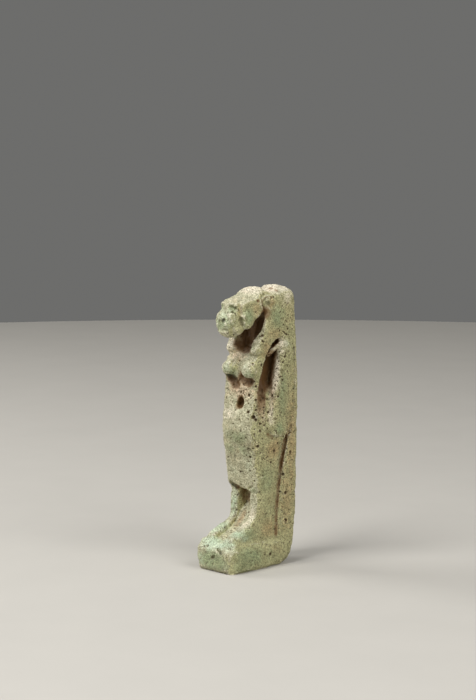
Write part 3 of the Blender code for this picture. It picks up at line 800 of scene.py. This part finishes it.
class NodeShop:
    """Makes the nodes of one material."""

    def __init__(self, tree: bpy.types.NodeTree) -> None:
        """Takes the tree that the nodes go into."""
        self.tree = tree

    def node(
        self, kind: str, settings: dict[str, Any] | None = None, inputs: dict[Any, Any] | None = None
    ) -> bpy.types.Node:
        """Adds one node.

        Args:
            kind: The node's type.
            settings: Its own properties, which are set first.
            inputs: The value or link of each socket, by name or number.

        Returns:
            The node.
        """
        made = self.tree.nodes.new(kind)
        for name, value in (settings or {}).items():
            setattr(made, name, value)
        for name, value in (inputs or {}).items():
            self.feed(made.inputs[name], value)
        return made

    def feed(self, socket: bpy.types.NodeSocket, value: Any) -> None:
        """Links a value to a socket, or sets the socket to a number, a list of numbers or a colour."""
        if isinstance(value, Value):
            self.tree.links.new(value.socket, socket)
        else:
            socket.default_value = paint(value) if isinstance(value, tuple) else value

    def number(self, operation: str, *values: Any) -> Value:
        """One step of arithmetic.

        Args:
            operation: The Math node's operation.
            *values: Numbers or values of the same material.

        Returns:
            The result.
        """
        made = self.node("ShaderNodeMath", {"operation": operation}, dict(enumerate(values)))
        return Value(self, made.outputs[0])

    def rise(self, value: Value, low: float, high: float) -> Value:
        """Rises smoothly from 0 at low to 1 at high."""
        settings = {"interpolation_type": "SMOOTHSTEP"}
        sockets = {0: value, 1: low, 2: high, 3: 0.0, 4: 1.0}
        return Value(self, self.node("ShaderNodeMapRange", settings, sockets).outputs[0])

    def blend(self, share: Any, first: Any, second: Any, way: str = "MIX") -> Value:
        """Mixes two colours.

        Args:
            share: How much of the second colour, from 0 to 1.
            first: A colour.
            second: Another colour.
            way: How they are mixed, by Blender's name.

        Returns:
            The mixed colour.
        """
        settings = {"data_type": "RGBA", "blend_type": way, "clamp_factor": True}
        return Value(self, self.node("ShaderNodeMix", settings, {0: share, 6: first, 7: second}).outputs[2])

    def place(self, *shift: float) -> Value:
        """The piece's own coordinates, moved along x, y and z by some millimetres."""
        here = Value(self, self.node("ShaderNodeTexCoord").outputs["Object"])
        moved = {0: here, 1: [part * MM for part in shift]}
        return Value(self, self.node("ShaderNodeVectorMath", {"operation": "ADD"}, moved).outputs[0])

    def noise(self, size: float, detail: float = 2.0, shift: float = 0.0) -> Value:
        """Cloudy noise from 0 to 1 on the piece's own coordinates.

        Args:
            size: The size of its clouds, in millimetres.
            detail: How many finer layers it has.
            shift: Moves it along, so that two noises of one size differ.

        Returns:
            The noise.
        """
        place = self.place(shift, 0.0, shift)
        sockets = {"Vector": place, "Scale": 1 / (size * MM), "Detail": detail, "Roughness": 0.6}
        return Value(self, self.node("ShaderNodeTexNoise", inputs=sockets).outputs[0])

    def specks(self, spacing: float, shift: float = 0.0) -> Value:
        """The distance from the nearest of many scattered places, in cells.

        Args:
            spacing: How far apart they are, in millimetres.
            shift: Moves them along.

        Returns:
            The distance, from 0 at a speck's middle.
        """
        sockets = {"Vector": self.place(0.0, shift, shift), "Scale": 1 / (spacing * MM)}
        return Value(self, self.node("ShaderNodeTexVoronoi", inputs=sockets).outputs["Distance"])

    def mask(self, mask: Mask) -> Value:
        """One of the numbers that the surface carries."""
        return Value(self, self.node("ShaderNodeAttribute", {"attribute_name": mask.value}).outputs["Fac"])


@dataclass(frozen=True)
class Value:
    """A number or colour on its way through one material's nodes."""

    shop: NodeShop
    socket: bpy.types.NodeSocket

    def __add__(self, other: Any) -> Value:
        """The sum."""
        return self.shop.number("ADD", self, other)

    def __sub__(self, other: Any) -> Value:
        """The difference."""
        return self.shop.number("SUBTRACT", self, other)

    def __mul__(self, other: Any) -> Value:
        """The product."""
        return self.shop.number("MULTIPLY", self, other)

    def __rsub__(self, other: Any) -> Value:
        """A number less this value."""
        return self.shop.number("SUBTRACT", other, self)

    __radd__ = __add__
    __rmul__ = __mul__


def paint(colour: Colour) -> Quad:
    """A colour as the eye sees it, from 0 to 255, as the light that it reflects."""
    shares = [part / 255 for part in colour]
    linear = [share / 12.92 if share <= 0.04045 else ((share + 0.055) / 1.055) ** 2.4 for share in shares]
    return (*linear, 1.0)


@dataclass(frozen=True)
class Glaze:
    """The worn glaze: greys and greens where it is whole, tans and creams where it has gone, and dirt, with
    painted shade on the sides, in the hollows and pores and under the belly and breasts, and painted highlight
    on tops and lit edges.
    """

    name: str = "mottled faience"
    sage: Colour = (184, 182, 152)
    olive: Colour = (174, 172, 128)
    green: Colour = (144, 158, 118)
    mint: Colour = (182, 202, 174)
    ochre: Colour = (176, 154, 110)
    cream: Colour = (224, 215, 194)
    rose: Colour = (204, 176, 148)
    # The darks of the hollows and seams: stain and dirt, and painted shade
    rust_and_shade: Colour = (126, 96, 62)
    umber: Colour = (88, 59, 23)
    algae_and_shade: Colour = (62, 64, 40)
    moss_and_shade: Colour = (104, 101, 68)
    pale: Colour = (226, 219, 195)
    speck: Colour = (78, 58, 30)
    lit: Colour = (298, 294, 296)
    dimmed: Colour = (180, 175, 163)
    gloss: float = 0.35
    dull: float = 0.62
    glazed: float = 0.48
    bump: float = 0.8
    bump_height: float = 0.08
    clouds: tuple[Triple, ...] = ((3.4, 3.0, 0.0), (1.1, 3.0, 5.0), (0.42, 3.0, 9.0), (0.14, 2.0, 13.0))

    def material(self) -> bpy.types.Material:
        """Builds the glaze as a material that reads the surface's masks.

        Returns:
            The material.
        """
        made = bpy.data.materials.new(self.name)
        made.use_nodes = True
        shop = NodeShop(made.node_tree)
        shader = made.node_tree.nodes["Principled BSDF"]
        broad, middle, small, grit = (shop.noise(*cloud) for cloud in self.clouds)
        stray = (middle - 0.5) * 1.3 + (small - 0.5) * 1.1
        # The sides turn olive, partly as the glaze's tone and partly as painted shade
        flank = shop.rise(shop.mask(Mask.FLANK) + stray * 0.5, 0.2, 0.8)
        colour = shop.blend(flank, self.sage, self.olive)
        tones = (
            (Mask.OCHRE, self.ochre, 0.8),
            # Green glaze, and painted shade under the belly and breasts
            (Mask.GREEN, self.green, 0.85),
            (Mask.ROSE, self.rose, 0.7),
            (Mask.MINT, self.mint, 0.85),
            # Cream where worn, and painted highlight on tops and lit edges
            (Mask.CREAM, self.cream, 0.85),
        )
        for index, (mask, tone, share) in enumerate(tones):
            drift = stray + (shop.noise(1.9, 2.0, 20.0 + 7 * index) - 0.5) * 0.9
            amount = shop.rise(shop.mask(mask) + drift * 0.5, 0.15, 0.95) * share
            colour = shop.blend(amount, colour, tone)
        whole = shop.mask(Mask.MINT) + shop.mask(Mask.GREEN)
        porous = shop.mask(Mask.POROUS)
        # How sheltered or seamed each place is, which the glaze darkens as dirt and painted shade
        hollow = shop.mask(Mask.HOLLOW) * (stray * 0.9 + 1.0)
        pores = shop.mask(Mask.PORE) + (small - 0.5) * 0.3
        speck = shop.rise(1 - shop.specks(0.62), 0.72, 0.84) * shop.rise(small + porous * 0.35, 0.48, 0.62)
        dots = shop.rise(1 - shop.specks(0.34, 3.0), 0.7, 0.84)
        point = dots * shop.rise(middle + porous * 0.4, 0.45, 0.65)
        # The darks of the hollows, greener where the glaze is whole: stain and dirt, and painted shade
        stain_and_shade = shop.blend(shop.rise(whole, 0.1, 0.5), self.rust_and_shade, self.moss_and_shade)
        soil_and_shade = shop.blend(shop.rise(whole, 0.1, 0.4), self.umber, self.algae_and_shade)
        layers = (
            (shop.rise(broad + stray * 0.3, 0.5, 0.8), 0.3, self.ochre, "MIX"),
            (shop.rise(shop.mask(Mask.WORN) + stray * 0.25, 0.35, 0.9), 0.5, self.pale, "MIX"),
            (shop.rise(grit, 0.5, 0.64), 1.0, self.lit, "MULTIPLY"),
            (shop.rise(1 - grit, 0.5, 0.64), 1.0, self.dimmed, "MULTIPLY"),
            (shop.rise(small, 0.5, 0.7), 0.6, self.lit, "MULTIPLY"),
            (shop.rise(1 - small, 0.5, 0.7), 0.55, self.dimmed, "MULTIPLY"),
            (shop.rise(1 - middle, 0.46, 0.7), 0.5, self.dimmed, "MULTIPLY"),
            (speck, 0.75, self.speck, "MIX"),
            (point, 0.6, self.speck, "MIX"),
            # Painted shade and dirt in the sheltered hollows and along the seams, darkest deepest in
            (shop.rise(hollow, 0.12, 0.5), 0.75, stain_and_shade, "MIX"),
            (shop.rise(hollow, 0.4, 0.85), 0.97, soil_and_shade, "MIX"),
            # Pores and pits painted dark: dirt, and painted shade
            (shop.rise(pores, 0.25, 0.8), 0.9, self.speck, "MIX"),
        )
        for amount, share, tone, way in layers:
            colour = shop.blend(amount * share, colour, tone, way)
        shop.feed(shader.inputs["Base Color"], colour)
        glassy = shop.rise(whole + stray, 0.3, 0.9) * (self.dull - self.glazed)
        shop.feed(shader.inputs["Roughness"], self.dull - glassy + (grit - 0.5) * 0.15)
        shader.inputs["Specular IOR Level"].default_value = self.gloss
        relief = grit * 0.45 + small * 0.55 - speck * 0.9
        sockets = {"Strength": self.bump, "Distance": self.bump_height * MM, "Height": relief}
        bump = shop.node("ShaderNodeBump", inputs=sockets)
        shop.feed(shader.inputs["Normal"], Value(shop, bump.outputs[0]))
        return made


@dataclass(frozen=True)
class Surface:
    """Measures the finished surface, so that its hollows and seams get dirt and painted shade and its ridges
    are rubbed pale.
    """

    coarse_grain: float = 0.34
    rays: int = 40
    reach: float = 5.0
    lean: float = 1.02
    lift: float = 0.12
    neighbours: int = 3
    closeness: float = 0.05
    wear: int = 30
    seed: int = 5
    # How dark a hole is painted, by its size: dirt and painted shade
    full_dark: float = 0.24
    least_dark: float = 0.08
    pore_reach: float = 1.5
    seams: tuple[Seam, ...] = SEAMS

    def measure(self, body: Object, places: Array, radii: Array) -> None:
        """Writes every mask onto the body.

        Args:
            body: The finished body.
            places: The middles of its holes.
            radii: Their radii.
        """
        points = read_points(body.data)
        normals = read_normals(body.data)
        masks = {mask: dabbed(mask, points) for mask in Mask}
        # The sides' share, which tints them olive: partly glaze tone, partly painted shade
        masks[Mask.FLANK] = ramp(np.abs(normals[:, 0]), 0.35, 0.9)
        # Painted shade and dirt: where the forms shelter each other, and along the seams
        masks[Mask.HOLLOW] = np.maximum(self.shelter(body, points), self.seam_shade_and_dirt(points))
        masks[Mask.WORN] = self.ridges(body, points, normals)
        masks[Mask.PORE] = self.inside_holes(points, places, radii)
        for mask, values in masks.items():
            attribute = body.data.attributes.new(mask.value, "FLOAT", "POINT")
            attribute.data.foreach_set("value", np.clip(values, 0, 1).astype(np.float32))

    def shelter(self, body: Object, points: Array) -> Array:
        """How sheltered each place is by the forms around it, for the dirt and painted shade of the hollows.

        Args:
            body: The finished body.
            points: Its vertices.

        Returns:
            From 0 in the open to 1 deep in a gap.
        """
        plain = twin(body)
        apply_modifier(plain, "REMESH", mode="VOXEL", voxel_size=self.coarse_grain * MM)
        mesh = plain.data
        tree = BVHTree.FromPolygons([v.co[:] for v in mesh.vertices], [p.vertices[:] for p in mesh.polygons])
        chance = np.random.default_rng(self.seed)
        ways = chance.normal(size=(self.rays, 3))
        ways /= np.linalg.norm(ways, axis=1)[:, None]
        spots, normals = read_points(mesh), read_normals(mesh)
        closed = np.zeros(len(spots))
        reach = self.reach * MM
        for index, (spot, normal) in enumerate(zip(spots, normals)):
            aims = ways + normal * self.lean
            aims /= np.linalg.norm(aims, axis=1)[:, None]
            start = Vector(spot + normal * self.lift * MM)
            for aim in aims:
                distance = tree.ray_cast(start, Vector(aim), reach)[3]
                if distance is not None:
                    closed[index] += 1 - 0.5 * distance / reach
        closed /= self.rays
        search = search_tree(spots)
        found = np.empty(len(points))
        for index, point in enumerate(points):
            near = search.find_n(point, self.neighbours)
            weights = [1 / (distance + self.closeness * MM) for _, _, distance in near]
            found[index] = sum(w * closed[i] for w, (_, i, _) in zip(weights, near)) / sum(weights)
        bpy.data.objects.remove(plain)
        return ramp(found, 0.24, 0.80)

    def seam_shade_and_dirt(self, points: Array) -> Array:
        """How much dirt and painted shade the seams lay at each place, from 0 to 1."""
        total = np.zeros(len(points))
        for seam in self.seams:
            for path in paths(seam):
                far = distance_to_line(points, path) / (seam.radius * MM)
                total = np.maximum(total, seam.strength * (1 - ramp(far, 0.25, 1.45)))
        return total

    def ridges(self, body: Object, points: Array, normals: Array) -> Array:
        """How far each place stands proud of the surface around it.

        Args:
            body: The finished body.
            points: Its vertices.
            normals: The normals there.

        Returns:
            From 0 on the flat and in hollows to 1 on a sharp edge.
        """
        soft = twin(body)
        apply_modifier(soft, "SMOOTH", factor=0.5, iterations=self.wear)
        proud = ((points - read_points(soft.data)) * normals).sum(axis=1)
        bpy.data.objects.remove(soft)
        return ramp(proud, 0.02 * MM, 0.14 * MM)

    def inside_holes(self, points: Array, places: Array, radii: Array) -> Array:
        """How deep in a pore or pit each place is.

        Args:
            points: The vertices.
            places: The middles of the sunk holes.
            radii: Their radii.

        Returns:
            From 0 outside to 1 at the bottom.
        """
        search = search_tree(points)
        inside = np.zeros(len(points))
        for place, radius in zip(places, radii):
            reach = self.pore_reach * radius
            # Larger holes are painted darker, as dirt and painted shade
            share = radius / (self.full_dark * MM)
            dark = min(1.0, self.least_dark + (1 - self.least_dark) * share)
            for _, index, distance in search.find_range(place, reach):
                inside[index] = max(inside[index], dark * min(1.0, 2 * (1 - distance / reach)))
        return inside


@dataclass(frozen=True)
class Figurine:
    """The one piece: cast, weathered, measured and glazed."""

    casting: Casting = Casting()
    weathering: Weathering = Weathering()
    surface: Surface = Surface()
    glaze: Glaze = Glaze()

    def build(self, node: Object) -> Object:
        """Builds the piece from a copy of the solid and puts it in the solid's place.

        Args:
            node: The solid.

        Returns:
            The finished piece.
        """
        body = self.casting.cast(node)
        log.info("cast: %d faces", len(body.data.polygons))
        self.weathering.wave(body)
        places, radii = self.weathering.holes(read_points(body.data))
        middles = self.weathering.sink(body, places, radii)
        self.weathering.thin(body)
        log.info("weathered: %d triangles, %d holes", len(body.data.polygons), len(radii))
        self.surface.measure(body, middles, radii)
        body.data.materials.clear()
        body.data.materials.append(self.glaze.material())
        pick(body)
        bpy.ops.object.shade_smooth()
        body.name = body.data.name = PIECE
        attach(body, BODY)
        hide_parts(NODE)
        return body


@dataclass(frozen=True)
class Studio:
    """A round pale table top, soft lamps and the camera of the photograph."""

    table_radius: float = 360.0
    table_depth: float = 20.0
    table_edge: float = 1.5
    table_dullness: float = 0.7
    table_colour: Colour = (196, 192, 184)
    lamp_distance: float = 420.0
    lamp_aim: float = 22.0
    backdrop: Colour = (138, 138, 136)
    backdrop_strength: float = 0.6
    camera_place: Triple = (214.989, -209.037, 71.437)
    camera_azimuth: float = 46.0
    camera_pitch: float = 7.089
    lens: float = 99.98
    film: float = 36.0
    lamps: tuple[tuple[str, float, float, float, float], ...] = (
        ("key", -6.0, 52.0, 1.40, 0.20),
        ("side", 92.0, 40.0, 0.95, 0.26),
        ("edge", -68.0, 36.0, 0.66, 0.18),
    )

    def build_table(self) -> Object:
        """Makes the table top.

        Returns:
            Its object.
        """
        bpy.ops.object.select_all(action="DESELECT")
        bpy.ops.mesh.primitive_cylinder_add(
            vertices=128,
            radius=self.table_radius * MM,
            depth=self.table_depth * MM,
            location=(0, 0, -self.table_depth / 2 * MM),
        )
        table = bpy.context.object
        table.name = "table_top"
        bpy.ops.object.transform_apply(location=True, rotation=True, scale=True)
        apply_modifier(table, "BEVEL", width=self.table_edge * MM, segments=3)
        material = bpy.data.materials.new("pale table")
        material.use_nodes = True
        shop = NodeShop(material.node_tree)
        shader = material.node_tree.nodes["Principled BSDF"]
        darker = [0.93 * part for part in paint(self.table_colour)[:3]] + [1.0]
        shop.feed(shader.inputs["Base Color"], shop.blend(shop.noise(14.0, 3.0), self.table_colour, darker))
        shader.inputs["Roughness"].default_value = self.table_dullness
        table.data.materials.append(material)
        return table

    def hang_lamps(self) -> None:
        """Hangs the soft lamps round the figurine."""
        for name, azimuth, height, power, size in self.lamps:
            turn, rise = math.radians(azimuth), math.radians(height)
            way = Vector((math.sin(turn) * math.cos(rise), -math.cos(turn) * math.cos(rise), math.sin(rise)))
            lamp = bpy.data.lights.new(name, "AREA")
            lamp.energy = power
            lamp.size = size
            obj = bpy.data.objects.new(name, lamp)
            bpy.context.scene.collection.objects.link(obj)
            obj.location = Vector((0, 0, self.lamp_aim * MM)) + way * self.lamp_distance * MM
            obj.rotation_mode = "QUATERNION"
            obj.rotation_quaternion = way.to_track_quat("Z", "Y")

    def set_world(self) -> None:
        """Gives the room its even grey light."""
        world = bpy.data.worlds.new("room")
        world.use_nodes = True
        background = world.node_tree.nodes["Background"]
        background.inputs["Color"].default_value = paint(self.backdrop)
        background.inputs["Strength"].default_value = self.backdrop_strength
        bpy.context.scene.world = world

    def set_camera(self) -> None:
        """Puts the camera where the photograph was taken from."""
        lens = bpy.data.cameras.new("camera")
        lens.lens = self.lens
        lens.sensor_width = self.film
        lens.clip_start = 0.01
        camera = bpy.data.objects.new("camera", lens)
        bpy.context.scene.collection.objects.link(camera)
        camera.location = Vector(self.camera_place) * MM
        camera.rotation_euler = (math.radians(90 - self.camera_pitch), 0.0, math.radians(self.camera_azimuth))
        bpy.context.scene.camera = camera

    def build(self) -> None:
        """Sets up the whole studio."""
        self.build_table()
        self.hang_lamps()
        self.set_world()
        self.set_camera()
        bpy.context.scene.view_settings.view_transform = "Standard"


def main() -> None:
    """Builds the figurine and its studio."""
    logging.basicConfig(level=logging.INFO, format="%(message)s", force=True)
    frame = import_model()
    piece = Figurine().build(frame["nodes"][NODE])
    log.info("%s: %d triangles", piece.name, len(piece.data.polygons))
    Studio().build()
    log.info("studio: table, lamps and camera")


if __name__ == "__main__":
    main()
